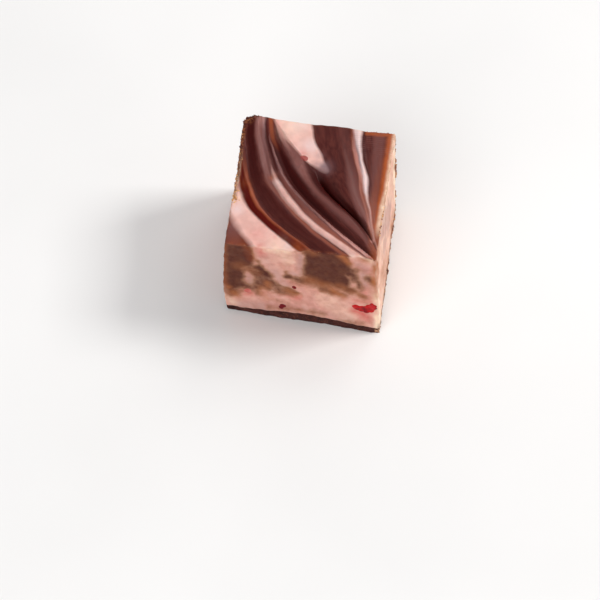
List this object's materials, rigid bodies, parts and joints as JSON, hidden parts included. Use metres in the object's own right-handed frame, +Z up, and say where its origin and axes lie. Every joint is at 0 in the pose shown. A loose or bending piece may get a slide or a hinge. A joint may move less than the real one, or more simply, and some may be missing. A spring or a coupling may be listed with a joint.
{
  "type": "chocolate fudge square",
  "caption": "Cut square of marbled chocolate and cherry fudge with a dark chocolate base, a pink layer, a swirled glossy top and bits of cherry.",
  "frame": {"origin": "centre of the bounding box at the foot, on the surface that the piece stands on", "axes": "+Z up, from the dark base to the swirled top; the front cut face looks along -Y; +X to its right"},
  "size_m": [0.0338, 0.0342, 0.0259],
  "materials": {
    "base_chocolate": "satin",
    "cherry_fudge": "matte",
    "marbled_fudge": "glossy top, matte cut sides",
    "cherry": "glossy"
  },
  "bodies": {
    "root": {"chocolate_base": "base_chocolate", "cherry_layer": "cherry_fudge", "marbled_top": "marbled_fudge", "cherry_front_right": "cherry", "cherry_front_low": "cherry", "cherry_front_middle": "cherry", "cherry_front_left": "cherry", "cherry_top": "cherry"}
  },
  "joints": []
}
